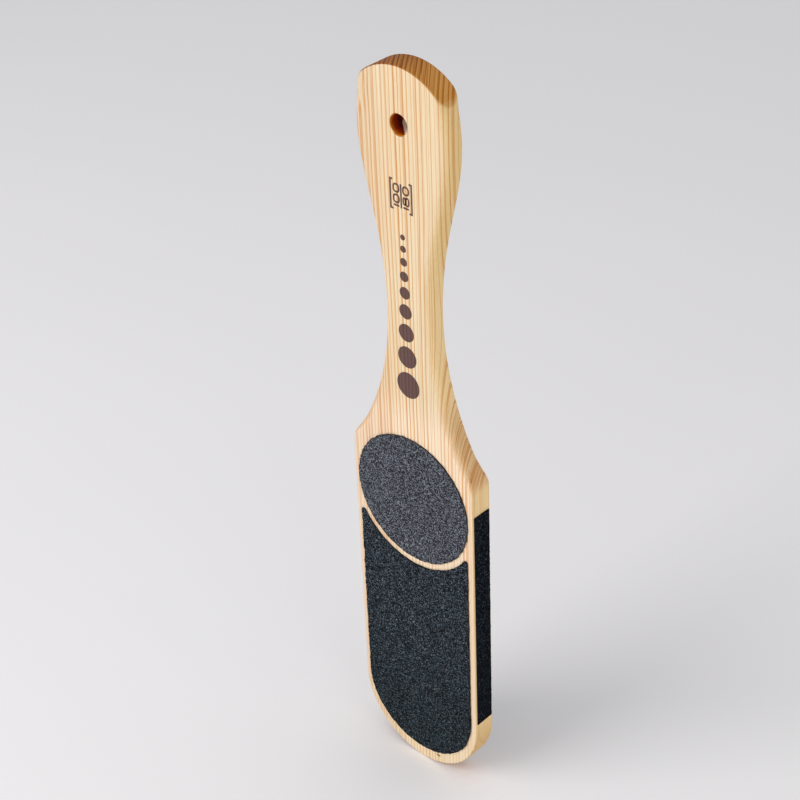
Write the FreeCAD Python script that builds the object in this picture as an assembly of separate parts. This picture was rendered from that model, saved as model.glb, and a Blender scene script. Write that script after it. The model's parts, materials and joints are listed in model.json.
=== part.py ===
"""Foot file: a waisted wooden paddle with abrasive discs, panels and edge strips glued to its blade.

Sizes are in millimetres. Z runs up the file from the round tip of the blade to the end of the handle, X runs
across it and Y through it, with the front face towards -Y. The origin is the middle of the hanging hole. A
height is a distance up from the tip, and at() turns it into a place in this frame.
"""
import FreeCAD, Part
import math
import os

from FreeCAD import Vector

# The wooden board, cut from one flat plank
OVERALL_LENGTH = 239.0
BOARD_THICKNESS = 7.8
BLADE_WIDTH = 46.0                 # the tip is a half circle of this diameter
SHOULDER_HEIGHT = 116.3            # where the blade's straight side would meet the neck's hollow
SHOULDER_ROUND = 6.0
NECK_WIDTH = 17.1                  # at the narrowest place
HANDLE_WIDTH = 33.4                # at the widest place
HANDLE_WIDEST_DROP = 20.5          # from the handle's end down to its widest place
HANDLE_TAPER = 4.0                 # how far each side would draw in from the widest place to the end
CROWN_DROP = 9.5                   # how far the end's arc would fall from the middle to the full width
CROWN_CORNER_ROUND = 10.0          # between the end's arc and the sides

# The rounding of the board's long edges, crisp on the blade and the end and soft on the handle between them
CRISP_EDGE_ROUND = 0.4
HANDLE_EDGE_ROUND = 3.1
SHOULDER_RUNOUT = 11.0             # over this height the soft edge runs out at the shoulder
RUNOUT_BELOW_SHARE = 0.3           # how much of it lies below the shoulder
CROWN_RUNOUT = 6.0                 # over this height it runs out at the handle's end
CROWN_CRISP_DROP = 4.4             # from the handle's end down to where the edge is crisp
ROUND_LIMIT_SHARE = 0.42           # an edge is never rounded by more of the thickness than this

# Where the neck lies on the way from the shoulder up to the handle's widest place
NECK_PLACE_SHARE = 0.472

# How far the handle's curve keeps its first direction, as shares of the rise that it crosses
NECK_RUN_SHARE = 0.47
BULGE_RUN_SHARE = 0.29

# Where the outline is divided on either side of the run-outs, so that the edge round follows them
BLADE_JOINT_SHARES = (0.88, 0.94, 0.97)
HOLLOW_JOINT_SHARES = (0.05, 0.1, 0.15, 0.22, 0.3, 0.5)
TAPER_JOINT_SHARES = (0.55, 0.8)
CORNER_JOINT_SHARES = (0.25, 0.5, 0.75)
CROWN_JOINT_SHARES = (0.15, 0.4)

# The drilled hanging hole
HOLE_DIAMETER = 6.0
HOLE_DROP = 16.5                   # from the handle's end down to the middle of the hole
HOLE_EASE = 0.25                   # bevel of the two rims

# The coated abrasive: glue film, backing sheet and grain, from the wood outwards
ADHESIVE_THICKNESS = 0.08
BACKING_THICKNESS = 0.18
FINE_GRIT_THICKNESS = 0.14
COARSE_GRIT_THICKNESS = 0.18

# Where the abrasive lies on the blade
DISC_MARGIN = 1.7                  # bare wood beside the disc
DISC_DROP = 14.1                   # from the shoulder down to the middle of the disc
DISC_GAP = 2.4                     # bare wood between the disc and the panel's hollow top
PANEL_MARGIN = 2.0                 # bare wood beside the panel
PANEL_TIP_MARGIN = 4.4             # bare wood between the panel and the tip
PANEL_HORN_ROUND = 0.7
STRIP_TIP_MARGIN = 3.5             # from the top of the round tip up to the strip
STRIP_SHOULDER_MARGIN = 10.5       # from the strip up to the shoulder
STRIP_EDGE_MARGIN = 0.3            # bare wood beside the strip

# Places and sizes that follow from those above
HOLE_HEIGHT = OVERALL_LENGTH - HOLE_DROP
HALF_BLADE = BLADE_WIDTH / 2
HALF_NECK = NECK_WIDTH / 2
HALF_HANDLE = HANDLE_WIDTH / 2
HALF_BOARD = BOARD_THICKNESS / 2
HANDLE_WIDEST_HEIGHT = OVERALL_LENGTH - HANDLE_WIDEST_DROP
NECK_HEIGHT = SHOULDER_HEIGHT + (HANDLE_WIDEST_HEIGHT - SHOULDER_HEIGHT) * NECK_PLACE_SHARE
RUNOUT_HEIGHT = SHOULDER_HEIGHT - SHOULDER_RUNOUT * RUNOUT_BELOW_SHARE
DISC_RADIUS = HALF_BLADE - DISC_MARGIN
DISC_HEIGHT = SHOULDER_HEIGHT - DISC_DROP
HALF_PANEL = HALF_BLADE - PANEL_MARGIN
ROUND_LIMIT = BOARD_THICKNESS * ROUND_LIMIT_SHARE
STRIP_WIDTH = BOARD_THICKNESS - 2 * min(CRISP_EDGE_ROUND, ROUND_LIMIT) - 2 * STRIP_EDGE_MARGIN

FRONT = Vector(0, -1, 0)
BACK = Vector(0, 1, 0)
LEFT = Vector(-1, 0, 0)
RIGHT = Vector(1, 0, 0)
UP = Vector(0, 0, 1)


def at(x, height):
    """A point half way through the board, x off the middle line and height above the tip."""
    return Vector(x, 0, height - HOLE_HEIGHT)


def line(start, end):
    return Part.LineSegment(start, end).toShape()


def arc(start, middle, end):
    return Part.Arc(start, middle, end).toShape()


def curve(*poles):
    """A Bezier curve, which leaves its ends towards the poles next to them."""
    bezier = Part.BezierCurve()
    bezier.setPoles(list(poles))
    return bezier.toShape()


def divided(edge, shares):
    """The edge in pieces, cut at shares of its length."""
    span = edge.LastParameter - edge.FirstParameter
    return edge.split([edge.FirstParameter + span * share for share in shares]).Edges


def halfway(start, end):
    return (start + end) * 0.5


def on_circle(centre, radius, towards):
    """The point of a circle that lies towards another point."""
    return centre + (towards - centre).normalize() * radius


def arc_radius(run, offset):
    """Radius of the arc that leaves its first direction by an offset over a run along that direction."""
    return (run ** 2 + offset ** 2) / (2 * offset)


def reached_from(first, first_reach, second, second_reach):
    """The point at one reach from the first point and another from the second, above the way between them."""
    way = second - first
    share = (first_reach ** 2 - second_reach ** 2 + way.Length ** 2) / (2 * way.Length ** 2)
    aside = math.sqrt(first_reach ** 2 - (share * way.Length) ** 2)
    return first + way * share + FRONT.cross(way).normalize() * aside


def mirrored(edges):
    return [edge.mirror(Vector(), RIGHT) for edge in edges]


def flat_face(edges):
    return Part.Face(Part.Wire(Part.__sortEdges__(edges)))


def rounded_corner(half_width, corner_round, hollow_centre, hollow_radius):
    """The arc that rounds the corner between an upright side and the hollow circle above it.

    Its centre lies one corner round inside the side, and touches the hollow circle from outside, so the two
    centres are the sum of the radii apart.
    """
    centre_x = half_width - corner_round
    reach = hollow_radius + corner_round
    fall = math.sqrt(reach ** 2 - (hollow_centre.x - centre_x) ** 2)
    centre = Vector(centre_x, 0, hollow_centre.z - fall)
    side = centre + RIGHT * corner_round
    end = on_circle(centre, corner_round, hollow_centre)
    middle = on_circle(centre, corner_round, halfway(side, end))
    return arc(side, middle, end), side, end


def lower_side():
    """The right side from the tip up to the neck: a straight, a rounded shoulder and a hollow.

    The hollow is a circle through the shoulder, upright at the neck.
    """
    neck = at(HALF_NECK, NECK_HEIGHT)
    hollow_radius = arc_radius(NECK_HEIGHT - SHOULDER_HEIGHT, HALF_BLADE - HALF_NECK)
    hollow_centre = neck + RIGHT * hollow_radius
    shoulder, side_top, hollow_start = rounded_corner(
        HALF_BLADE, SHOULDER_ROUND, hollow_centre, hollow_radius)
    hollow_middle = on_circle(hollow_centre, hollow_radius, halfway(hollow_start, neck))
    blade_side = divided(line(at(HALF_BLADE, HALF_BLADE), side_top), BLADE_JOINT_SHARES)
    hollow = divided(arc(hollow_start, hollow_middle, neck), HOLLOW_JOINT_SHARES)
    return blade_side + [shoulder] + hollow


def upper_side():
    """The right side from the neck up to the middle of the end: a swelling curve and three touching arcs.

    The taper is upright at the widest place, the crown level at the end's middle. The corner between them
    touches both from inside, so its centre lies one corner round nearer to theirs than their arcs do.
    """
    neck = at(HALF_NECK, NECK_HEIGHT)
    widest = at(HALF_HANDLE, HANDLE_WIDEST_HEIGHT)
    end = at(0, OVERALL_LENGTH)
    swell = UP * (HANDLE_WIDEST_HEIGHT - NECK_HEIGHT)
    bulge = curve(neck, neck + swell * NECK_RUN_SHARE, widest - swell * BULGE_RUN_SHARE, widest)

    taper_radius = arc_radius(HANDLE_WIDEST_DROP, HANDLE_TAPER)
    taper_centre = widest + LEFT * taper_radius
    crown_radius = arc_radius(HALF_HANDLE, CROWN_DROP)
    crown_centre = end - UP * crown_radius
    corner_centre = reached_from(
        taper_centre, taper_radius - CROWN_CORNER_ROUND, crown_centre, crown_radius - CROWN_CORNER_ROUND)
    corner_start = corner_centre + (corner_centre - taper_centre).normalize() * CROWN_CORNER_ROUND
    corner_end = corner_centre + (corner_centre - crown_centre).normalize() * CROWN_CORNER_ROUND

    taper_middle = on_circle(taper_centre, taper_radius, halfway(widest, corner_start))
    corner_middle = on_circle(corner_centre, CROWN_CORNER_ROUND, halfway(corner_start, corner_end))
    crown_middle = on_circle(crown_centre, crown_radius, halfway(corner_end, end))
    taper = divided(arc(widest, taper_middle, corner_start), TAPER_JOINT_SHARES)
    corner = divided(arc(corner_start, corner_middle, corner_end), CORNER_JOINT_SHARES)
    crown = divided(arc(corner_end, crown_middle, end), CROWN_JOINT_SHARES)
    return [bulge] + taper + corner + crown


def board_outline():
    """The half-round tip and the two sides, which meet in the middle of the handle's end."""
    right_side = lower_side() + upper_side()
    tip = arc(at(-HALF_BLADE, HALF_BLADE), at(0, 0), at(HALF_BLADE, HALF_BLADE))
    return flat_face(right_side + mirrored(right_side) + [tip])


def eased(share):
    """An even step from 0 to 1 that starts and ends level."""
    share = min(max(share, 0), 1)
    return share ** 2 * (3 - 2 * share)


def edge_round(point):
    """How far the long edge is rounded at a point: crisp below the shoulder and at the end, soft between."""
    height = point.z + HOLE_HEIGHT
    above_shoulder = eased((height - RUNOUT_HEIGHT) / SHOULDER_RUNOUT)
    below_crown = eased((OVERALL_LENGTH - CROWN_CRISP_DROP - height) / CROWN_RUNOUT)
    softness = (HANDLE_EDGE_ROUND - CRISP_EDGE_ROUND) * above_shoulder * below_crown
    return min(CRISP_EDGE_ROUND + softness, ROUND_LIMIT)


def round_edges(board):
    """Round the front and back edges all along the outline."""
    document = FreeCAD.newDocument()
    sharp = document.addObject("Part::Feature")
    sharp.Shape = board
    rounded = document.addObject("Part::Fillet")
    rounded.Base = sharp
    rims = []
    for number, edge in enumerate(board.Edges, start=1):
        start, end = edge.Vertexes[0].Point, edge.Vertexes[-1].Point
        if start.y == end.y:
            rims.append((number, edge_round(start), edge_round(end)))
    rounded.Edges = rims
    document.recompute()
    return rounded.Shape


def wood_body():
    """The paddle: the outline through the thickness, its edges rounded and the hanging hole drilled."""
    outline = board_outline()
    outline.translate(FRONT * HALF_BOARD)
    board = round_edges(outline.extrude(BACK * BOARD_THICKNESS))
    radius = HOLE_DIAMETER / 2
    hole = Part.makeCylinder(radius, BOARD_THICKNESS, FRONT * HALF_BOARD, BACK)
    for outward in (FRONT, BACK):
        rim = Part.makeCone(radius + HOLE_EASE, radius, HOLE_EASE, outward * HALF_BOARD, -outward)
        hole = hole.fuse(rim)
    return board.cut(hole).Solids[0]


def disc_face():
    centre = at(0, DISC_HEIGHT)
    return flat_face([Part.makeCircle(DISC_RADIUS, centre, FRONT)])


def panel_face():
    """Half-round foot, straight sides and a hollow top that follows the disc, with blunt horns."""
    disc_centre = at(0, DISC_HEIGHT)
    hollow_radius = DISC_RADIUS + DISC_GAP
    horn, side_top, hollow_start = rounded_corner(HALF_PANEL, PANEL_HORN_ROUND, disc_centre, hollow_radius)
    foot_height = PANEL_TIP_MARGIN + HALF_PANEL
    right_side = [line(at(HALF_PANEL, foot_height), side_top), horn]
    foot = arc(at(-HALF_PANEL, foot_height), at(0, PANEL_TIP_MARGIN), at(HALF_PANEL, foot_height))
    hollow_end = Vector(-hollow_start.x, 0, hollow_start.z)
    hollow = arc(hollow_start, at(0, DISC_HEIGHT - hollow_radius), hollow_end)
    return flat_face(right_side + mirrored(right_side) + [foot, hollow])


def strip_face():
    """A rectangle on the flat of the blade's edge, from the round tip to below the shoulder."""
    length = SHOULDER_HEIGHT - STRIP_SHOULDER_MARGIN - HALF_BLADE - STRIP_TIP_MARGIN
    corner = at(0, HALF_BLADE + STRIP_TIP_MARGIN) + FRONT * (STRIP_WIDTH / 2)
    return Part.makePlane(STRIP_WIDTH, length, corner, RIGHT, BACK)


def glued_sheet(name, face, outward, seat, grit_thickness):
    """Glue film, backing and grain, one on the other, from the wood's surface outwards."""
    depth = seat
    layers = (("adhesive", ADHESIVE_THICKNESS), ("backing", BACKING_THICKNESS), ("grit", grit_thickness))
    for layer, thickness in layers:
        sheet = face.translated(outward * depth).extrude(outward * thickness)
        save(name + "_" + layer, sheet)
        depth += thickness


def save(name, shape):
    shape.exportStep(os.path.join("parts", name + ".step"))
    print(name, shape.ShapeType, len(shape.Solids), shape.isValid(), round(shape.Volume, 2))


def main():
    os.makedirs("parts", exist_ok=True)
    save("wood_body", wood_body())
    for side, outward in (("front", FRONT), ("back", BACK)):
        glued_sheet(side + "_disc", disc_face(), outward, HALF_BOARD, FINE_GRIT_THICKNESS)
        glued_sheet(side + "_panel", panel_face(), outward, HALF_BOARD, COARSE_GRIT_THICKNESS)
    for side, outward in (("left", LEFT), ("right", RIGHT)):
        glued_sheet(side + "_strip", strip_face(), outward, HALF_BLADE, COARSE_GRIT_THICKNESS)


main()
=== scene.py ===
import json
import math

import bpy
import numpy as np
from mathutils import Matrix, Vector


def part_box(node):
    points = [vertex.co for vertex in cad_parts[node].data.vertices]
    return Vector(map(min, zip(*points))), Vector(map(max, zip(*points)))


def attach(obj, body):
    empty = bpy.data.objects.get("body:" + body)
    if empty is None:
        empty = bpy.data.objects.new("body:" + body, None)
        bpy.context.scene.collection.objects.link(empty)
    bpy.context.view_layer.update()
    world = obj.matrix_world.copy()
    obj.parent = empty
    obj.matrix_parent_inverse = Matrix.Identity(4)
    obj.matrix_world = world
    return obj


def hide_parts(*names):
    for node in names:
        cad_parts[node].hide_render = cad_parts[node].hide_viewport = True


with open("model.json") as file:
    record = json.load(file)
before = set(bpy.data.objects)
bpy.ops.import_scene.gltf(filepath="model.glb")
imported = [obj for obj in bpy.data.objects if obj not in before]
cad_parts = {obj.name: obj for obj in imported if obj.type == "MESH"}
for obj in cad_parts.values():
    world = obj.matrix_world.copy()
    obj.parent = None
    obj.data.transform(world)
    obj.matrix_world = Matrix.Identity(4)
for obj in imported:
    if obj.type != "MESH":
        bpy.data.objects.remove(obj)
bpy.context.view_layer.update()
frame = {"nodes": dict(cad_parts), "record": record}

# The file stands on its tip: Z up, X across, the front face towards -Y, metres
MM = 0.001
UP = np.array((0.0, 0.0, 1.0))
FRONT = np.array((0.0, -1.0, 0.0))
RIGHT = np.array((1.0, 0.0, 0.0))
SIDES = {"front": FRONT, "back": -FRONT, "left": -RIGHT, "right": RIGHT}
X_AXIS, Y_AXIS, Z_AXIS = (1.0, 0.0, 0.0), (0.0, 1.0, 0.0), (0.0, 0.0, 1.0)

# Places taken from the frame
WOOD_LOW, WOOD_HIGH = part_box("wood_body")
DISC_LOW, DISC_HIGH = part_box("front_disc_grit")
PANEL_LOW, PANEL_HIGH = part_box("front_panel_grit")
STRIP_LOW, STRIP_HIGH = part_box("right_strip_grit")
TIP_Z = WOOD_LOW.z
FACE_DEPTH = -WOOD_LOW.y
DISC_RADIUS = DISC_HIGH.x
DISC_Z = (DISC_LOW.z + DISC_HIGH.z) / 2
HALF_PANEL = PANEL_HIGH.x
FOOT_Z = PANEL_LOW.z + HALF_PANEL
MOUNTS = {mount["name"]: mount for mount in frame["record"]["mounts"]}
HOLE_RADIUS = MOUNTS["hang_hole"]["dims"]["r_mm"]    # in millimetres, as the finishes count

# The abrasive sheets
DISC_GAP = 2.4 * MM                # bare wood between the disc and the panel's hollow top
HORN_ROUND = 0.7 * MM              # blunt points at the panel's upper corners
SHEET_PITCH = 0.27 * MM            # spacing of the points that carry the grain
SHAKE_SHARE = 0.25                 # how far each point is shaken, of that spacing
SIDE_COLUMNS_SHARE = 1.2           # columns of a panel, of those that the spacing alone would give
EVEN_SHARE = 0.6                   # of a column's place is even, and the rest crowds it to the sides
FINE_GRAIN = 0.25 * MM             # from one crystal to the next
COARSE_GRAIN = 0.28 * MM
NET_EDGE = 1.5                     # squares of the crystals' net past the sheet's edge
GRAIN_VALLEY_SHARE = 0.15          # how high the grain's valleys stay above the backing
LOW_CRYSTAL_SHARE = 0.4            # height of the lowest crystal
CRYSTAL_SLOPE = 0.9                # how fast a crystal falls from its peak
RAGGED_REACH = 0.46 * MM           # how far broken grains stand out past the cut edge
STRIP_REACH = 0.2 * MM             # the same on the strips
RAGGED_BITE = 0.08 * MM            # how far the edge is bitten back between them
RAGGED_PITCH = 0.66 * MM           # along the edge, from one clump of broken grains to the next
CLUMP_SHARE = 0.7                  # of the push at the edge is a clump's, and the rest each point's own
# Painted shade: these darken each kind of sheet towards the tip
PANEL_TIP_SHADE = (0.66, 0.74, 0.73, 1.0)
STRIP_TIP_SHADE = (0.5, 0.5, 0.55, 1.0)
NO_TINT = (1.0, 1.0, 1.0, 1.0)
SHEET_SHADES = (-222.0, -150.0)    # heights in millimetres between which painted shade darkens a sheet by its tint, downwards
BRIGHT_GRAINS = (0.93, 0.99)       # shares of the grains above which lie the few painted glints

# The printed marks on the handle, heights above the tip
INK_THICKNESS = 0.03 * MM
STROKE_WIDTH = 0.56 * MM
DIGIT_HEIGHT = 1.95 * MM
DIGIT_WIDTH = 2.3 * MM
DIGIT_GAP = 0.85 * MM
LOWER_LOOP_SHARE = 0.54            # of an eight's height
UPPER_WIDTH_SHARE = 0.85           # width of its upper loop, of the lower one's
OVAL_POWER = 0.8                   # below 1 an oval is squarer than an ellipse
OVAL_POINTS = 40
NUMBERS_HEIGHT = 198.6 * MM        # where the numbers start
LINE_SPACING = 3.45 * MM           # between the two numbers' middles
BRACKET_REACH = 3.8 * MM           # from the rule out to the brackets beside the numbers
BRACKET_TICK = 0.9 * MM            # the brackets' turned-in ends
BRACKET_OVERHANG = 1.2 * MM        # past the ends of the numbers
DOTS_HEIGHT = 142.0 * MM           # middle of the largest dot
DOT_RADIUS = 4.2 * MM
DOT_RATIO_SHARE = 0.82             # each dot's radius over the one before it
DOT_GAP = 1.7 * MM
DOT_COUNT = 9
DOT_POINTS = 13                    # along each side of the grid that makes a dot

# The wood's growth rings, in millimetres of the finish's own coordinates
RING_SPACING = 1.2
LOW_LEAN = 0.36                    # how far the rings' normal points backwards on the blade
HIGH_LEAN = 0.62                   # and at the handle's end
LEAN_HEIGHTS = (-95.0, -10.0)      # between these heights it turns from the one to the other
OUTER_RINGS = (16.5, 18.5)         # on the blade the rings are fainter from here on
BLADE_TOP = (-110.0, -104.0)       # heights between which the blade passes into the neck
SLOPE_TOP = (-92.0, -80.0)         # heights between which the shoulders' slopes pass into the neck
SLOPE_LINES = 1.5                  # lines on those slopes to each ring
LINE_FADE = (-150.0, -118.0)       # heights between which the lines grow fainter down the blade
UNEVEN_PACE = 0.34                 # changes of the rings' width to a millimetre across them
UNEVEN_SHIFT = 1.3                 # how far those changes move a ring
BEND_SHIFT = 0.9                   # how far its long bends move it
WAVE_SHIFT = 0.16                  # how far its short waves move it
KNOT_SHIFT = 0.8                   # how far it swerves at the knot
KNOT = (-15.0, 0.0, 7.0)           # the rings swerve round this place
KNOT_FALL = (0.13, 0.1, 0.09)      # and lose that swerve at this rate a millimetre along each axis

# The dark late wood of a ring, as shares of its width and as strengths
LATE_STARTS = (0.3, 0.55)          # each ring's late wood starts between these shares
LATE_FULL = 0.86                   # and is darkest here
LATE_END = (0.88, 1.0)             # and ends between these
FAN_START, FAN_END = (0.15, 0.75), (0.8, 1.0)          # the same on the shoulders' slopes
BROAD_START, BROAD_END = (0.2, 0.65), (0.85, 1.0)      # and on the ends
FAINTEST_LINE = 0.5                # strength of the faintest ring's line
OUTER_FADE = 0.6                   # how much of a line is lost at the outer rings
FAN_LINE = 0.75                    # strength of the lines on the slopes
LOW_LINE = 0.55                    # strength that the lines keep low on the blade

# Sides and ends of the wood, by how far a surface faces that way: where they start and where they are full
SIDE_FACING = (0.2, 0.95)
END_FACING = (0.5, 0.68)
CROWN_FACING = (0.04, 0.64)        # for the end at the crown
CROWN_HEIGHTS = (6.0, 10.0)        # heights in millimetres between which the handle passes into the crown

# Colours of the ends, the hole and the nick, with painted light and shade on the ends and in the hole, by
# places in millimetres
END_PALES = (-10.0, 14.0)          # places between which painted light turns the ends paler to the right
BORE_EDGE = (0.04, 0.2)            # past the hole's radius, where the colour of its wall ends
RIM_DEPTHS = (0.2, 1.8)            # depths between which the hole's golden rim of painted light ends
BORE_SHADE_DEPTHS = (2.0, 3.6)         # and between which painted shade turns its wall darkest
TEAR_SHIFT = 1.6                   # how far torn fibres move those depths
TORN_SIDE = (0.65, 0.76, 0.0)      # the direction across the patch of pale torn fibres
TORN_START, TORN_END = (-1.35, -1.15), (-0.45, 0.0)    # places that way where it starts and ends
TORN_TOP = (-1.6, -0.8)            # heights between which it ends
NICK = (6.9, -3.9, -218.5)         # a small dark mark by the tip
NICK_FALL = (0.75, 1.0, 1.5)       # how its distance counts along each axis
NICK_EDGE = (0.4, 0.8)             # distances between which it ends

# Where the wood is browner, and where painted shade darkens the tip, as places in millimetres and as tints in
# linear light
FRONT_BROWNS = (-96.0, -80.0)      # heights between which the faces turn browner towards the handle
SIDE_BROWNS = (-62.0, -25.0)       # the same on the sides
LEFT_BROWNS = (-14.0, -3.0)        # to the left of these places
# Painted shade: the tip is darker below these heights, most on its sides
TIP_SHADE_HEIGHTS = (-206.0, -194.0)      # below these heights
HANDLE_TINT = (0.9, 0.89, 0.81, 1.0)
LEFT_TINT = (0.93, 0.88, 0.86, 1.0)
SLOPE_TINT = (0.84, 0.8, 0.81, 1.0)
TIP_PAINTED_SHADE = (0.99, 0.98, 0.9, 1.0)
TIP_SIDE_PAINTED_SHADE = (0.83, 0.77, 0.73, 1.0)

# Noise in the finishes, as bumps to a millimetre along each axis
LONG_BENDS = (0.04, 0.04, 0.006)
SHORT_WAVES = (0.25, 0.25, 0.05)
MOTTLE = (0.09, 0.09, 0.02)
FLECKS = (2.6, 2.6, 0.2)
FIBRES = (4.5, 4.5, 0.07)
TEARS = (1.6, 0.5, 1.6)
DUST = (0.12, 0.12, 0.12)
BACKING_FIBRES = (9.0, 9.0, 1.2)
BACKING_CROSS = (1.2, 9.0, 9.0)
GLUE_CLOUDS = (0.9, 0.9, 0.9)
INK_SPECKS = (7.0, 7.0, 1.5)
FLOOR_CLOUDS = (0.004, 0.004, 0.004)

# Depth of the finishes' fine relief
WOOD_RELIEF = 0.02 * MM
GRAIN_RELIEF = 0.05 * MM
BACKING_RELIEF = 0.03 * MM
GLUE_RELIEF = 0.03 * MM
INK_RELIEF = 0.02 * MM

# The floor and the lights, in metres and watts
FLOOR_SIZE = 8.0
GLOW_DISTANCES = (750.0, 1300.0)   # in millimetres, between which the floor takes on a glow of its own
LAMPS = {
    # Name: place, size, power and colour
    "key": ((-0.37, -0.8, 0.45), 0.7, 5.6, (1.0, 0.985, 0.97)),
    "fill": ((0.95, -0.2, 0.35), 0.8, 2.25, (1.0, 0.98, 0.93)),
    "top": ((0.0, 0.4, 3.6), 7.8, 53.0, (1.0, 1.0, 1.0)),
}
SKY_LIGHT = 0.45                   # strength of the surroundings as a light
SKY_SEEN = 1.0                     # and as they are seen, mirrored or seen through

# The camera, fitted to the board's edges in a picture of 800 by 800 pixels
PICTURE = 800
FOCAL_PIXELS = 1932.8
YAW = math.radians(43.891)
PITCH = math.radians(33.526)
ROLL = math.radians(-2.421)
AIM = np.array((0.0, 1.1, -162.5)) * MM
AIM_PIXEL = (428.17, 602.53)
AIM_DISTANCE = 592.49 * MM
SENSOR = 36.0
NEAREST = 0.01                     # how near to the camera things still show, in metres


# Shader expressions
class Signal:
    """A shader socket that joins in Python expressions: each operator adds one Math node."""

    def __init__(self, nodes, socket):
        self.nodes = nodes
        self.socket = socket

    def __add__(self, other):
        return self.nodes.maths("ADD", self, other)

    def __sub__(self, other):
        return self.nodes.maths("SUBTRACT", self, other)

    def __rsub__(self, other):
        return self.nodes.maths("SUBTRACT", other, self)

    def __mul__(self, other):
        return self.nodes.maths("MULTIPLY", self, other)

    def __truediv__(self, other):
        return self.nodes.maths("DIVIDE", self, other)

    def __pow__(self, other):
        return self.nodes.maths("POWER", self, other)

    def __abs__(self):
        return self.nodes.maths("ABSOLUTE", self)

    __radd__ = __add__
    __rmul__ = __mul__


class Nodes:
    """A node tree, and the few ways in which nodes are added to it."""

    def __init__(self, tree):
        self.tree = tree

    def node(self, kind, settings, inputs, output=0):
        """Add a node: its settings first, then the values or links of its sockets by name or number."""
        made = self.tree.nodes.new(kind)
        for setting, value in settings.items():
            setattr(made, setting, value)
        for socket, value in inputs.items():
            self.feed(made.inputs[socket], value)
        return Signal(self, made.outputs[output])

    def feed(self, socket, value):
        """Link a signal to a socket, or set its value."""
        if isinstance(value, Signal):
            self.tree.links.new(value.socket, socket)
        else:
            socket.default_value = value

    def maths(self, operation, *values):
        """One Math node."""
        return self.node("ShaderNodeMath", {"operation": operation}, dict(enumerate(values)))

    def place(self):
        """The point's place on the object, in millimetres."""
        metres = self.node("ShaderNodeTexCoord", {}, {}, "Object")
        return self.node("ShaderNodeVectorMath", {"operation": "SCALE"}, {0: metres, "Scale": 1 / MM})

    def stretch(self, vector, factors):
        """A vector with each axis multiplied by its own factor."""
        return self.node("ShaderNodeVectorMath", {"operation": "MULTIPLY"}, {0: vector, 1: factors})

    def length(self, vector):
        """How long a vector is."""
        return self.node("ShaderNodeVectorMath", {"operation": "LENGTH"}, {0: vector}, "Value")

    def along(self, vector, direction):
        """How far a vector reaches in a direction."""
        inputs = {0: vector, 1: direction}
        return self.node("ShaderNodeVectorMath", {"operation": "DOT_PRODUCT"}, inputs, "Value")

    def offset(self, vector, origin):
        """A place as seen from an origin."""
        return self.node("ShaderNodeVectorMath", {"operation": "SUBTRACT"}, {0: vector, 1: origin})

    def noise(self, vector, factors, detail=2.0):
        """Noise about zero, as many bumps a millimetre along each axis as the factors say."""
        inputs = {"Vector": self.stretch(vector, factors), "Scale": 1.0, "Detail": detail}
        return self.node("ShaderNodeTexNoise", {}, inputs) - 0.5

    def cells(self, vector, size, output):
        """Irregular cells of the given size, their colour or the distance from their middle."""
        inputs = {"Vector": vector, "Scale": 1 / size}
        return self.node("ShaderNodeTexVoronoi", {}, inputs, output)

    def chance(self, number):
        """An even random number from 0 to 1 for each whole number."""
        return self.node("ShaderNodeTexWhiteNoise", {"noise_dimensions": "1D"}, {"W": number}, "Value")

    def rise(self, value, low, high):
        """A smooth step from 0 at low to 1 at high."""
        inputs = {"Value": value, 1: low, 2: high}
        return self.node("ShaderNodeMapRange", {"interpolation_type": "SMOOTHSTEP"}, inputs)

    def band(self, value, start, end):
        """A smooth step up between the two places of start, and down again between those of end."""
        return self.rise(value, *start) * (1 - self.rise(value, *end))

    def mix(self, share, first, second, blend="MIX"):
        """One colour laid over another by a share, plainly or by another way of blending."""
        settings = {"data_type": "RGBA", "blend_type": blend}
        return self.node("ShaderNodeMix", settings, {0: share, 6: first, 7: second}, 2)

    def relief(self, height, depth, strength):
        """A bump of the given depth in metres for a height from 0 to 1."""
        inputs = {"Strength": strength, "Distance": depth, "Height": height}
        return self.node("ShaderNodeBump", {}, inputs)


class Finish(Nodes):
    """A procedural material: one Principled shader, its constants, and the nodes that feed it."""

    def __init__(self, name, **constants):
        self.material = bpy.data.materials.new(name)
        self.material.use_nodes = True
        super().__init__(self.material.node_tree)
        self.shader = self.tree.nodes["Principled BSDF"]
        for socket, value in constants.items():
            self.shader.inputs[socket.replace("_", " ")].default_value = value

    def wear(self, socket, value):
        """Feed one socket of the shader."""
        self.feed(self.shader.inputs[socket], value)


def srgb(red, green, blue):
    """A colour written in screen values from 0 to 255, as linear light."""
    values = np.array((red, green, blue)) / 255
    linear = np.where(values < 0.04045, values / 12.92, ((values + 0.055) / 1.055) ** 2.4)
    return (*linear.tolist(), 1.0)


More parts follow.
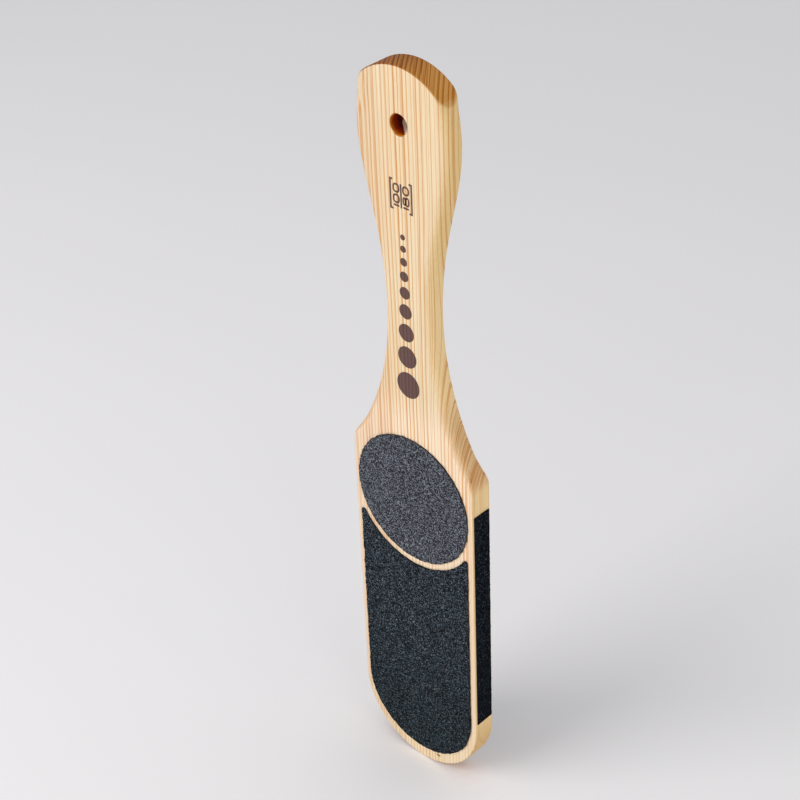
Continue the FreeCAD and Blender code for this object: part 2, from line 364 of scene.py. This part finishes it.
# Finishes
def growth_rings(finish, place):
    """Number of the growth ring at a point: how far it lies along the rings' normal, over their spacing.

    The normal points to the right and backwards, further backwards at the handle's end than on the blade, so
    the rings draw lines along both faces, wider ones on the sides and slanted ones on the ends. Slow noise
    bends them, and they swerve once, high on the handle's left.
    """
    turn = finish.rise(finish.along(place, Z_AXIS), *LEAN_HEIGHTS)
    back = LOW_LEAN + turn * (HIGH_LEAN - LOW_LEAN)
    right = finish.maths("SQRT", 1 - back * back)
    inward = finish.along(place, Y_AXIS) + FACE_DEPTH / MM
    across = finish.along(place, X_AXIS) * right + inward * back
    years = {"W": across * UNEVEN_PACE, "Detail": 1.0}
    uneven = finish.node("ShaderNodeTexNoise", {"noise_dimensions": "1D"}, years)
    bend = finish.noise(place, LONG_BENDS)
    wave = finish.noise(place, SHORT_WAVES)
    from_knot = finish.length(finish.stretch(finish.offset(place, KNOT), KNOT_FALL))
    swerve = 1 - finish.rise(from_knot, 0.0, 1.0)
    moved = across + uneven * UNEVEN_SHIFT + bend * BEND_SHIFT + wave * WAVE_SHIFT + swerve * KNOT_SHIFT
    return moved / RING_SPACING


def late_wood(finish, ring, up, slope):
    """The rings' dark late wood at a point, from 0 to 1: how hard it is, and how dark its line is.

    Each ring darkens slowly and ends sharply, and has its own strength. The lines are fainter on the blade's
    right and down the blade. On the shoulders' slopes, where they fan out, three stand for two rings.
    """
    share = finish.maths("FRACT", ring)
    number = finish.maths("FLOOR", ring)
    earliest, latest = LATE_STARTS
    start = earliest + finish.chance(number) * (latest - earliest)
    late = finish.band(share, (start, LATE_FULL), LATE_END)
    faint = finish.rise(ring, *OUTER_RINGS) * (1 - finish.rise(up, *BLADE_TOP))
    strength = FAINTEST_LINE + finish.chance(number + 0.5) * (1 - FAINTEST_LINE)
    line = late * strength * (1 - faint * OUTER_FADE)
    closer = finish.maths("FRACT", ring * SLOPE_LINES)
    fan = finish.band(closer, FAN_START, FAN_END)
    line = line + slope * (fan * FAN_LINE - line)
    return late, line * (LOW_LINE + finish.rise(up, *LINE_FADE) * (1 - LOW_LINE))


def long_grain(finish, place, line, up, side, slope):
    """Colour of the faces and sides: cream early wood, tan lines, a few flecks, browner places, painted light
    on the sides, and painted shade at the tip.
    """
    mottle = finish.noise(place, MOTTLE)
    fleck = finish.rise(finish.noise(place, FLECKS, 1.0), 0.22, 0.3)
    early = finish.mix(finish.rise(mottle, -0.2, 0.2), srgb(254, 238, 212), srgb(252, 231, 201))
    # Painted light: the sides take yellower, deeper tones than the faces, as if lit by warmer light
    early = finish.mix(side, early, srgb(252, 222, 168))
    late = finish.mix(side, srgb(227, 157, 88), srgb(218, 146, 70))
    tone = finish.mix(line, early, late)
    tone = finish.mix(fleck * 0.35, tone, srgb(186, 118, 74))
    front_brown = finish.rise(up, *FRONT_BROWNS)
    handle = front_brown + side * (finish.rise(up, *SIDE_BROWNS) - front_brown)
    leftward = 1 - finish.rise(finish.along(place, X_AXIS), *LEFT_BROWNS)
    # Painted shade towards the tip, stronger on the sides
    low = 1 - finish.rise(up, *TIP_SHADE_HEIGHTS)
    tints = ((handle, HANDLE_TINT), (leftward, LEFT_TINT), (slope, SLOPE_TINT), (low, TIP_PAINTED_SHADE),
             (low * side, TIP_SIDE_PAINTED_SHADE))
    for share, tint in tints:
        tone = finish.mix(share, tone, tint, "MULTIPLY")
    return tone


def end_grain(finish, place, ring, line):
    """Colour of the ends, where the grain is cut across: redder and darker, partly as painted shade, with
    broader lines, and paler to the right as painted light.
    """
    share = finish.maths("FRACT", ring)
    # Painted light turns the ends paler to the right; their dark, red tones are partly their own colour and
    # partly painted shade
    rightward = finish.rise(finish.along(place, X_AXIS), *END_PALES)
    early = finish.mix(rightward, srgb(162, 98, 44), srgb(212, 158, 90))
    late = finish.mix(rightward, srgb(80, 28, 2), srgb(172, 102, 20))
    broad = finish.band(share, BROAD_START, BROAD_END)
    return finish.mix(broad * (0.7 + line * 0.3), early, late)


def drilled_bore(finish, place, fibre, up):
    """Colour of the hole's wall: golden at the rims and darker further in, as painted light and shade, and
    pale where fibres are torn.
    """
    tear = finish.noise(place, TEARS, 3.0)
    depth = FACE_DEPTH / MM - abs(finish.along(place, Y_AXIS)) + tear * TEAR_SHIFT
    tone = finish.mix(finish.rise(fibre, -0.3, 0.3), srgb(124, 18, 0), srgb(160, 54, 4))
    # Painted light and shade: golden at the mouths, near-black deeper in
    tone = finish.mix(finish.rise(depth, *RIM_DEPTHS), srgb(198, 114, 26), tone)
    tone = finish.mix(finish.rise(depth, *BORE_SHADE_DEPTHS), tone, srgb(92, 6, 0))
    lean = finish.along(place, TORN_SIDE)
    torn = finish.rise(lean + tear * 0.8, *TORN_START) * (1 - finish.rise(lean, *TORN_END))
    torn = torn * (1 - finish.rise(up, *TORN_TOP))
    return finish.mix(torn, tone, srgb(250, 240, 222))


def pine(name):
    """Pale sanded pine with fine fibres: long grain, end grain, the bore, and one small nick by the tip."""
    finish = Finish(name, Specular_IOR_Level=0.05)
    place = finish.place()
    up = finish.along(place, Z_AXIS)
    normal = finish.node("ShaderNodeTexCoord", {}, {}, "Normal")
    side = finish.rise(abs(finish.along(normal, X_AXIS)), *SIDE_FACING)
    slope = side * finish.band(up, BLADE_TOP, SLOPE_TOP)
    ring = growth_rings(finish, place)
    late, line = late_wood(finish, ring, up, slope)
    fibre = finish.noise(place, FIBRES, 3.0)

    # An end is where the surface faces up or down, and on the crown also where it does so only a little
    crown = finish.rise(up, *CROWN_HEIGHTS)
    upright = abs(finish.along(normal, Z_AXIS))
    facing = (plain + crown * (raised - plain) for plain, raised in zip(END_FACING, CROWN_FACING))
    end = finish.rise(upright, *facing)
    long_tone = long_grain(finish, place, line, up, side, slope)
    tone = finish.mix(end, long_tone, end_grain(finish, place, ring, line))
    streak = finish.mix(finish.rise(fibre, -0.35, 0.35), srgb(243, 238, 233), srgb(255, 255, 255))
    tone = finish.mix(1.0, tone, streak, "MULTIPLY")

    from_axis = finish.length(finish.stretch(place, (1.0, 0.0, 1.0)))
    bore = 1 - finish.rise(from_axis, *(HOLE_RADIUS + past for past in BORE_EDGE))
    tone = finish.mix(bore, tone, drilled_bore(finish, place, fibre, up))

    from_nick = finish.length(finish.stretch(finish.offset(place, NICK), NICK_FALL))
    nick = 1 - finish.rise(from_nick + fibre * 0.6, *NICK_EDGE)
    tone = finish.mix(nick * 0.85, tone, srgb(96, 56, 26))

    finish.wear("Base Color", tone)
    finish.wear("Roughness", 0.6 - late * 0.1 + fibre * 0.12)
    finish.wear("Normal", finish.relief(late * 0.4 + fibre, WOOD_RELIEF, 0.6))
    return finish.material


def grit(name, grain, dark, pale, sparkle, gloss, tint):
    """Mineral grains in black resin: each cell is one grain with its own grey and roughness.

    Painted shade darkens the sheet towards the tip by its tint, and its rim is black: the cut edge and
    painted shade along it.
    """
    finish = Finish(name, Specular_IOR_Level=gloss)
    place = finish.place()
    colour = finish.cells(place, grain / MM, "Color")
    chance = finish.node("ShaderNodeSeparateColor", {}, {0: colour}, 0)
    other = finish.node("ShaderNodeSeparateColor", {}, {0: colour}, 1)
    dome = finish.cells(place, grain / MM, "Distance")
    dust = finish.noise(place, DUST, 3.0)
    tone = finish.mix(chance ** 4.0, dark, pale)
    # Painted glints: a few grains are made bright
    tone = finish.mix(finish.rise(other, *BRIGHT_GRAINS) * sparkle, tone, srgb(150, 156, 164))
    tone = finish.mix(finish.rise(dust, -0.3, 0.4) * 0.12, tone, pale, "SOFT_LIGHT")
    # Painted shade: the sheet is darker towards the tip
    low = 1 - finish.rise(finish.along(place, Z_AXIS), *SHEET_SHADES)
    tone = finish.mix(low, tone, tint, "MULTIPLY")
    # The rim and the wall are painted near-black: the black cut edge, with painted shade along it
    rim = finish.node("ShaderNodeAttribute", {"attribute_name": "rim"}, {}, "Fac")
    tone = finish.mix(finish.rise(rim, 0.2, 0.9), tone, srgb(10, 10, 12))
    finish.wear("Base Color", tone)
    finish.wear("Roughness", 0.45 + other * 0.4)
    finish.wear("Normal", finish.relief(1 - dome, GRAIN_RELIEF, 0.7))
    return finish.material


def backing(name):
    """Black impregnated backing with a faint crossed fibre."""
    finish = Finish(name, Specular_IOR_Level=0.4)
    place = finish.place()
    fibre = finish.noise(place, BACKING_FIBRES, 3.0)
    cross = finish.noise(place, BACKING_CROSS, 3.0)
    tone = finish.mix(finish.rise(fibre + cross, -0.4, 0.4), srgb(13, 13, 15), srgb(38, 37, 38))
    finish.wear("Base Color", tone)
    finish.wear("Roughness", 0.72 + fibre * 0.3)
    finish.wear("Normal", finish.relief(fibre + cross, BACKING_RELIEF, 0.6))
    return finish.material


def glue(name):
    """A dried glue film under the black backing, dark and cloudy where it met the wood."""
    finish = Finish(name, Specular_IOR_Level=0.5)
    place = finish.place()
    cloud = finish.noise(place, GLUE_CLOUDS, 3.0)
    tone = finish.mix(finish.rise(cloud, -0.3, 0.3), srgb(44, 34, 26), srgb(92, 70, 48))
    finish.wear("Base Color", tone)
    finish.wear("Roughness", 0.35 + cloud * 0.3)
    finish.wear("Normal", finish.relief(cloud, GLUE_RELIEF, 0.5))
    return finish.material


def ink(name):
    """Dark brown print that lets a little of the grain under it show."""
    finish = Finish(name, Specular_IOR_Level=0.3)
    place = finish.place()
    share = finish.maths("FRACT", growth_rings(finish, place))
    speck = finish.noise(place, INK_SPECKS, 3.0)
    tone = finish.mix(finish.rise(share, 0.3, 0.9), srgb(100, 72, 66), srgb(82, 56, 51))
    tone = finish.mix(finish.rise(speck, 0.1, 0.45), tone, srgb(150, 114, 96))
    finish.wear("Base Color", tone)
    finish.wear("Roughness", 0.62 + speck * 0.2)
    finish.wear("Normal", finish.relief(speck, INK_RELIEF, 0.5))
    return finish.material


# Surfaces
def add_piece(name, points, faces, finish, slot):
    """Turn points and faces into a piece of the object."""
    mesh = bpy.data.meshes.new(name)
    mesh.from_pydata(points, [], faces)
    mesh.update()
    mesh.materials.append(finish)
    piece = bpy.data.objects.new(name, mesh)
    bpy.context.scene.collection.objects.link(piece)
    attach(piece, "root")
    return piece


def placed(across, along, out, outward):
    """Points of a sheet in the object's frame.

    Along runs up, out leaves the surface, and across is square to both.
    """
    side = np.cross(UP, outward)
    return across[..., None] * side + along[..., None] * UP + out[..., None] * outward


def grid_faces(columns, rows):
    """Corners of each cell of a grid of points, turned so that across, along and out are right-handed."""
    number = np.arange(columns * rows).reshape(columns, rows)
    corners = (number[:-1, :-1], number[1:, :-1], number[1:, 1:], number[:-1, 1:])
    return np.stack(corners, -1).reshape(-1, 4).tolist()


def rim_numbers(columns, rows):
    """Numbers of the grid's border points, once round with the surface on the left."""
    number = np.arange(columns * rows).reshape(columns, rows)
    return np.concatenate((number[:-1, 0], number[-1, :-1], number[:0:-1, -1], number[0, :0:-1]))


def closed_sheet(across, along, out, base, outward):
    """Points and faces of a solid sheet: a top grid at height out, a wall round its rim, and a flat base.

    The base is one strip of quads from the first row to the last, with a many-sided face at each end that
    takes in the rim points there.
    """
    columns, rows = across.shape
    rim = rim_numbers(columns, rows)
    top = placed(across, along, out, outward).reshape(-1, 3)
    low = placed(across, along, np.full_like(out, base), outward).reshape(-1, 3)[rim]
    foot = len(top) + np.arange(len(rim))
    foot_next = np.roll(foot, -1)
    wall = np.stack((rim, foot, foot_next, np.roll(rim, -1)), -1).tolist()

    # Where the first row, the last column, the last row and the first column lie on the rim
    first_row = foot[:columns]
    last_row = foot[columns + rows - 2:2 * columns + rows - 2][::-1]
    quads = np.stack((first_row[1:-2], last_row[1:-2], last_row[2:-1], first_row[2:-1]), -1).tolist()
    last_column = foot[columns - 1:columns + rows - 1]
    first_column = np.append(foot[2 * columns + rows - 3:], foot[0])
    ends = [
        [first_row[1], *first_column[::-1], last_row[1]],
        [last_row[-2], *last_column[::-1], first_row[-2]],
    ]
    faces = grid_faces(columns, rows) + wall + quads + [[int(corner) for corner in end] for end in ends]
    return np.concatenate((top, low)), faces


def disc_grid(radius, count):
    """A square grid pressed into a disc.

    The larger of the two parameters is the radius, and the other one over it turns the point within its
    quarter.
    """
    first, second = np.meshgrid(np.linspace(-1, 1, count), np.linspace(-1, 1, count), indexing="ij")
    wide = np.abs(first) > np.abs(second)
    reach = np.where(wide, first, second)
    other = np.where(wide, second, first)
    turn = np.pi / 4 * other / np.where(reach == 0, 1, reach)
    turn = np.where(wide, turn, np.pi / 2 - turn)
    return radius * reach * np.cos(turn), radius * reach * np.sin(turn)


def panel_grid():
    """Columns from the round foot to the hollow top, with even steps up each.

    The columns lie closer together at the sides: their place is part even and part a sine. The foot is
    a half circle, the top a circle about the disc's middle, and each upper corner a small circle that touches
    the hollow and the side.
    """
    columns = round(2 * HALF_PANEL / SHEET_PITCH * SIDE_COLUMNS_SHARE)
    rows = round((PANEL_HIGH.z - PANEL_LOW.z) / SHEET_PITCH)
    step = np.linspace(-1, 1, columns)
    across = HALF_PANEL * (EVEN_SHARE * step + (1 - EVEN_SHARE) * np.sin(step * np.pi / 2))
    foot = FOOT_Z - np.sqrt(np.maximum(HALF_PANEL ** 2 - across ** 2, 0))
    hollow_radius = DISC_RADIUS + DISC_GAP
    hollow = DISC_Z - np.sqrt(hollow_radius ** 2 - across ** 2)
    horn_x = HALF_PANEL - HORN_ROUND
    horn_z = DISC_Z - math.sqrt((hollow_radius + HORN_ROUND) ** 2 - horn_x ** 2)
    horn = horn_z + np.sqrt(np.maximum(HORN_ROUND ** 2 - (np.abs(across) - horn_x) ** 2, 0))
    touch_x = horn_x * hollow_radius / (hollow_radius + HORN_ROUND)
    top = np.where(np.abs(across) < touch_x, hollow, horn)
    climb = np.linspace(0, 1, rows)
    along = foot[:, None] + climb * (top - foot)[:, None]
    return np.repeat(across[:, None], rows, 1), along


def strip_grid():
    """An even grid over the strip's rectangle, about its own middle line."""
    half = (STRIP_HIGH.y - STRIP_LOW.y) / 2
    columns = round(2 * half / SHEET_PITCH)
    rows = round((STRIP_HIGH.z - STRIP_LOW.z) / SHEET_PITCH)
    return np.meshgrid(np.linspace(-half, half, columns), np.linspace(STRIP_LOW.z, STRIP_HIGH.z, rows),
                       indexing="ij")


def broken_rim(across, along, reach, random):
    """Push the border points out by a different length each, as grains broken by the cutting die stand out.

    The push is a random height for each clump, joined by straight lines along the border, and a smaller one
    for each point.
    """
    rim = rim_numbers(*across.shape)
    x, z = across.ravel(), along.ravel()
    run_x = np.roll(x[rim], -1) - np.roll(x[rim], 1)
    run_z = np.roll(z[rim], -1) - np.roll(z[rim], 1)
    length = np.hypot(run_x, run_z)
    # Each run spans two steps of the border, so half of it counts
    way = np.cumsum(length) / 2
    clumps = round(way[-1] / RAGGED_PITCH)
    heights = random.random(clumps)
    clump = np.interp(way / way[-1] * clumps, np.arange(clumps + 1), np.append(heights, heights[0]))
    push = reach * (CLUMP_SHARE * clump + (1 - CLUMP_SHARE) * random.random(len(rim))) - RAGGED_BITE
    x[rim] += push * run_z / length
    z[rim] -= push * run_x / length
    return x.reshape(across.shape), z.reshape(along.shape)


def grain_height(across, along, size, random):
    """Height of the grain at each point, from 0 to 1: the tallest of the crystals near it.

    One crystal stands in each square of a net. It is a leaning pyramid: its own height, less the distance
    from its middle in its own turned directions.
    """
    columns = int(np.ptp(across) / size + 2 * NET_EDGE) + 1
    rows = int(np.ptp(along) / size + 2 * NET_EDGE) + 1
    shift_x, shift_z, peak, turn, lean = random.random((5, columns, rows))
    net_x = (across - across.min()) / size + NET_EDGE
    net_z = (along - along.min()) / size + NET_EDGE
    height = np.zeros_like(across)
    for step_x in (-1, 0, 1):
        for step_z in (-1, 0, 1):
            i = np.clip(net_x.astype(int) + step_x, 0, columns - 1)
            j = np.clip(net_z.astype(int) + step_z, 0, rows - 1)
            from_x = net_x - i - shift_x[i, j]
            from_z = net_z - j - shift_z[i, j]
            angle = turn[i, j] * np.pi
            first = from_x * np.cos(angle) + from_z * np.sin(angle)
            second = from_z * np.cos(angle) - from_x * np.sin(angle)
            slope = np.maximum(np.abs(first), np.abs(second)) + (lean[i, j] - 0.5) * first
            own = LOW_CRYSTAL_SHARE + (1 - LOW_CRYSTAL_SHARE) * peak[i, j]
            height = np.maximum(height, own - CRYSTAL_SLOPE * slope)
    return np.clip(height, 0, 1)


def grit_coat(node, grid, size, reach, finish, slot, seed):
    """The grain layer of one sheet, in place of its plain solid: ragged at the rim and rough on top."""
    random = np.random.default_rng(seed)
    outward = SIDES[node.split("_")[0]]
    low, high = (np.array(corner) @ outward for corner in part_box(node))
    base, crest = min(low, high), max(low, high)
    across, along = grid
    shake = np.zeros((2, *across.shape))
    inner = (2, *across[1:-1, 1:-1].shape)
    shake[:, 1:-1, 1:-1] = random.uniform(-SHAKE_SHARE, SHAKE_SHARE, inner) * SHEET_PITCH
    across, along = broken_rim(across + shake[0], along + shake[1], reach, random)
    height = GRAIN_VALLEY_SHARE + (1 - GRAIN_VALLEY_SHARE) * grain_height(across, along, size, random)
    points, faces = closed_sheet(across, along, base + (crest - base) * height, base, outward)
    coat = add_piece(node + "_coat", points, faces, finish, slot)
    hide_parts(node)
    rim = np.zeros(len(points))
    rim[rim_numbers(*across.shape)] = 1
    rim[across.size:] = 1
    coat.data.attributes.new("rim", "FLOAT", "POINT").data.foreach_set("value", rim)


def dress_sheets():
    """Six sheets: a disc and a panel on each face and a strip on each edge."""
    fine = grit("fine_grain", FINE_GRAIN, dark=srgb(12, 14, 19), pale=srgb(148, 154, 167),
                sparkle=0.7, gloss=0.14, tint=NO_TINT)
    coarse = grit("coarse_grain", COARSE_GRAIN, dark=srgb(2, 6, 9), pale=srgb(93, 106, 118),
                  sparkle=0.55, gloss=0.06, tint=PANEL_TIP_SHADE)
    # Painted shade: the strips on the sides take a darker copy of the coarse grain
    edge = grit("edge_grain", COARSE_GRAIN, dark=srgb(0, 2, 5), pale=srgb(46, 56, 68),
                sparkle=0.25, gloss=0.02, tint=STRIP_TIP_SHADE)
    black = backing("black_backing")
    film = glue("dark_glue")
    disc_x, disc_z = disc_grid(DISC_RADIUS, round(2 * DISC_RADIUS / SHEET_PITCH))
    disc = (disc_x, disc_z + DISC_Z)
    sheets = []
    for side in ("front", "back"):
        sheets.append((side + "_disc", disc, FINE_GRAIN, RAGGED_REACH, fine, "fine_grit"))
        sheets.append((side + "_panel", panel_grid(), COARSE_GRAIN, RAGGED_REACH, coarse, "coarse_grit"))
    for side in ("left", "right"):
        sheets.append((side + "_strip", strip_grid(), COARSE_GRAIN, STRIP_REACH, edge, "coarse_grit"))
    for seed, (sheet, grid, size, reach, finish, slot) in enumerate(sheets):
        grit_coat(sheet + "_grit", grid, size, reach, finish, slot, seed)
        frame["nodes"][sheet + "_backing"].data.materials[0] = black
        frame["nodes"][sheet + "_adhesive"].data.materials[0] = film


# The printed marks
def stroke(path, closed):
    """Points and faces of an inked line: a flat four-cornered profile carried along a path on the front face.

    The path gives places across and up the handle. At each of its points the normals of the two lines that
    meet there are added and stretched, so that the line keeps its width round a corner.
    """
    run = np.diff(path, axis=0, append=path[:1])
    run /= np.linalg.norm(run, axis=1)[:, None]
    after = np.stack((-run[:, 1], run[:, 0]), -1)
    before = np.roll(after, 1, 0)
    if not closed:
        after[-1], before[0] = before[-1], after[0]
    normal = (before + after) / (1 + np.sum(before * after, 1))[:, None] * STROKE_WIDTH / 2
    left, right = path + normal, path - normal
    ring = np.stack((left, right, right, left), 1)
    depth = np.broadcast_to(FACE_DEPTH + np.array((1, 1, 0, 0)) * INK_THICKNESS, ring.shape[:2])
    points = placed(ring[..., 0], ring[..., 1], depth, FRONT).reshape(-1, 3)
    number = np.arange(len(points)).reshape(-1, 4)
    following = np.roll(number, -1, 0)
    if not closed:
        number, following = number[:-1], following[:-1]
    turned, turned_next = np.roll(number, -1, 1), np.roll(following, -1, 1)
    faces = np.stack((number, turned, turned_next, following), -1).reshape(-1, 4).tolist()
    if not closed:
        last = len(points)
        faces += [[3, 2, 1, 0], [last - 4, last - 3, last - 2, last - 1]]
    return points, faces


def loop(middle_x, middle_y, half_width, half_height):
    """A rounded oval: a circle whose cosine and sine are drawn towards 1 by a power."""
    turn = np.linspace(0, 2 * np.pi, OVAL_POINTS, endpoint=False)
    x = np.sign(np.cos(turn)) * np.abs(np.cos(turn)) ** OVAL_POWER
    y = np.sign(np.sin(turn)) * np.abs(np.sin(turn)) ** OVAL_POWER
    return np.stack((middle_x + half_width * x, middle_y + half_height * y), -1), True


def straight(*corners):
    """An open line through corners."""
    return np.array(corners, float), False


def digit_strokes(digit):
    """Paths of one upright digit in its own box, from its lower left corner."""
    half_width, half_height = DIGIT_WIDTH / 2, DIGIT_HEIGHT / 2
    if digit == "1":
        return [straight((0, 0), (0, DIGIT_HEIGHT))]
    if digit == "0":
        return [loop(half_width, half_height, half_width, half_height)]
    upper, lower = (1 - LOWER_LOOP_SHARE) * half_height, LOWER_LOOP_SHARE * half_height
    return [
        loop(half_width, lower, half_width, lower),
        loop(half_width, 2 * lower + upper, half_width * UPPER_WIDTH_SHARE, upper),
    ]


def join(solids):
    """Points and faces of several solids as one list each."""
    points = np.concatenate([solid[0] for solid in solids])
    offsets = np.cumsum([0] + [len(solid[0]) for solid in solids[:-1]])
    faces = [[corner + int(offset) for corner in face] for offset, solid in zip(offsets, solids)
             for face in solid[1]]
    return points, faces


def turned_text(path, column, start):
    """A digit's path laid along the handle: its width runs up and its height runs to the left."""
    return np.stack((column + DIGIT_HEIGHT / 2 - path[:, 1], TIP_Z + start + path[:, 0]), -1)


def print_numbers(finish):
    """The two grit numbers with a rule between them, reading up the handle, and a bracket on either side."""
    solids = []
    for column, number in ((-LINE_SPACING / 2, "100"), (LINE_SPACING / 2, "180")):
        start = NUMBERS_HEIGHT
        for digit in number:
            for path, closed in digit_strokes(digit):
                solids.append(stroke(turned_text(path, column, start), closed))
            start += DIGIT_GAP + DIGIT_WIDTH * (digit != "1")
    low, high = TIP_Z + NUMBERS_HEIGHT, TIP_Z + start - DIGIT_GAP
    solids.append(stroke(*straight((0, low - BRACKET_TICK / 2), (0, high + BRACKET_TICK / 2))))
    low, high = low - BRACKET_OVERHANG, high + BRACKET_OVERHANG
    for side in (-1, 1):
        outer, inner = side * BRACKET_REACH, side * (BRACKET_REACH - BRACKET_TICK)
        solids.append(stroke(*straight((inner, low), (outer, low), (outer, high), (inner, high))))
    add_piece("grit_numbers", *join(solids), finish, "pale_wood")


def print_dots(finish):
    """A row of dots that shrink evenly up the neck, for the way the grain goes from coarse to fine."""
    radii = DOT_RADIUS * DOT_RATIO_SHARE ** np.arange(DOT_COUNT)
    steps = np.append(0, np.cumsum(radii[:-1] + radii[1:] + DOT_GAP))
    solids = []
    for radius, step in zip(radii, steps):
        across, along = disc_grid(radius, DOT_POINTS)
        along = along + TIP_Z + DOTS_HEIGHT + step
        top = np.full_like(across, FACE_DEPTH + INK_THICKNESS)
        solids.append(closed_sheet(across, along, top, FACE_DEPTH, FRONT))
    add_piece("coarse_to_fine_dots", *join(solids), finish, "pale_wood")


# Floor, light and camera
def lay_floor():
    """A pale floor under the tip, with a glow of its own beyond the reach of the lamps."""
    bpy.ops.mesh.primitive_plane_add(size=FLOOR_SIZE, location=(0, 0, TIP_Z))
    floor = bpy.context.object
    floor.name = "floor"
    finish = Finish("pale_floor", Roughness=0.9, Specular_IOR_Level=0.2, Emission_Strength=1.0)
    place = finish.place()
    cloud = finish.noise(place, FLOOR_CLOUDS)
    tone = finish.mix(finish.rise(cloud, -0.3, 0.3), srgb(246, 245, 247), srgb(248, 247, 249))
    finish.wear("Base Color", tone)
    far = finish.rise(finish.length(place), *GLOW_DISTANCES)
    finish.wear("Emission Color", finish.mix(far, srgb(0, 0, 0), srgb(160, 160, 162)))
    floor.data.materials.append(finish.material)


def add_lamp(name, place, size, power, colour):
    """A square soft lamp aimed at the middle of the file."""
    lamp = bpy.data.lights.new(name, "AREA")
    lamp.size = size
    lamp.energy = power
    lamp.color = colour
    holder = bpy.data.objects.new(name, lamp)
    bpy.context.scene.collection.objects.link(holder)
    middle = (WOOD_LOW + WOOD_HIGH) / 2
    holder.location = place
    holder.rotation_euler = (middle - holder.location).to_track_quat("-Z", "Y").to_euler()


def light_scene():
    """A soft key from the front left, a weaker fill from the right, one from above, and pale surroundings."""
    for name, lamp in LAMPS.items():
        add_lamp(name, *lamp)
    world = bpy.data.worlds.new("studio")
    bpy.context.scene.world = world
    world.use_nodes = True
    sky = Nodes(world.node_tree)
    camera, mirror, through = (sky.node("ShaderNodeLightPath", {}, {}, f"Is {ray} Ray")
                               for ray in ("Camera", "Glossy", "Transmission"))
    seen = sky.maths("MAXIMUM", camera, sky.maths("MAXIMUM", mirror, through))
    background = sky.tree.nodes["Background"]
    sky.feed(background.inputs["Color"], srgb(236, 236, 238))
    sky.feed(background.inputs["Strength"], SKY_LIGHT + seen * (SKY_SEEN - SKY_LIGHT))
    bpy.context.scene.view_settings.view_transform = "Standard"


def aim_camera():
    """Turn by yaw about Z, down by pitch, then by roll, and stand back so that AIM falls on its pixel."""
    ahead = np.array((-math.sin(YAW) * math.cos(PITCH), math.cos(YAW) * math.cos(PITCH), -math.sin(PITCH)))
    level = np.array((math.cos(YAW), math.sin(YAW), 0.0))
    rise = np.cross(level, ahead)
    right = math.cos(ROLL) * level + math.sin(ROLL) * rise
    up = math.cos(ROLL) * rise - math.sin(ROLL) * level
    across = (AIM_PIXEL[0] - PICTURE / 2) / FOCAL_PIXELS
    down = (AIM_PIXEL[1] - PICTURE / 2) / FOCAL_PIXELS
    stand = AIM - AIM_DISTANCE * (ahead + across * right - down * up)
    lens = bpy.data.cameras.new("camera")
    lens.sensor_width = SENSOR
    lens.lens = SENSOR * FOCAL_PIXELS / PICTURE
    lens.clip_start = NEAREST
    camera = bpy.data.objects.new("camera", lens)
    bpy.context.scene.collection.objects.link(camera)
    turn = Matrix(np.stack((right, up, -ahead), -1).tolist()).to_4x4()
    camera.matrix_world = Matrix.Translation(stand.tolist()) @ turn
    bpy.context.scene.camera = camera


# The whole scene
frame["nodes"]["wood_body"].data.materials[0] = pine("sanded_pine")
dress_sheets()
brown = ink("brown_print")
print_numbers(brown)
print_dots(brown)
lay_floor()
light_scene()
aim_camera()
